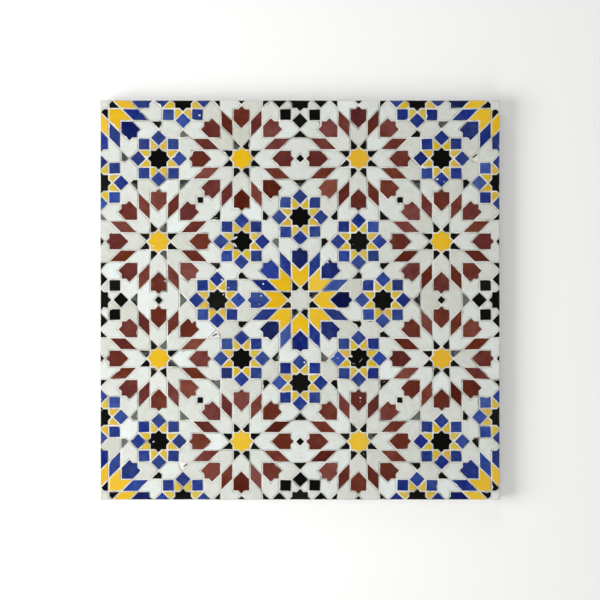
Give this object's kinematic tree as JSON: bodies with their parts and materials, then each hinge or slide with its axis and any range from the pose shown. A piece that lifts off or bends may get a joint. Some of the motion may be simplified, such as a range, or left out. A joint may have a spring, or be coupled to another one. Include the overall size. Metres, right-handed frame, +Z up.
{
  "type": "moroccan mosaic tile",
  "caption": "Square mosaic panel of hand-cut glazed terracotta pieces in star rosettes, backed with mortar, for facing walls, floors and tables.",
  "frame": {"origin": "middle of the flat underside of the mortar bed", "axes": "+Z up through the glazed faces, X and Y along the square panel's sides"},
  "size_m": [0.6, 0.6, 0.03],
  "materials": {
    "mortar": "matt cast cement mortar",
    "white_glaze": "glossy glaze on hand-cut terracotta",
    "yellow_glaze": "glossy glaze on hand-cut terracotta",
    "blue_glaze": "glossy glaze on hand-cut terracotta",
    "red_glaze": "glossy glaze on hand-cut terracotta",
    "black_glaze": "glossy glaze on hand-cut terracotta"
  },
  "bodies": {
    "root": {"mortar_bed": "mortar", "white_center_stars": "white_glaze", "white_arrows": "white_glaze", "white_kites": "white_glaze", "white_wings": "white_glaze", "white_links": "white_glaze", "white_bridges": "white_glaze", "yellow_center_stars": "yellow_glaze", "yellow_arrows": "yellow_glaze", "yellow_kites": "yellow_glaze", "blue_rhombs": "blue_glaze", "blue_petals": "blue_glaze", "blue_squares": "blue_glaze", "red_rhombs": "red_glaze", "red_petals": "red_glaze", "black_center_kites": "black_glaze", "black_small_stars": "black_glaze", "black_squares": "black_glaze", "black_link_kites": "black_glaze", "black_tiny_squares": "black_glaze", "black_triangles": "black_glaze"}
  },
  "joints": []
}
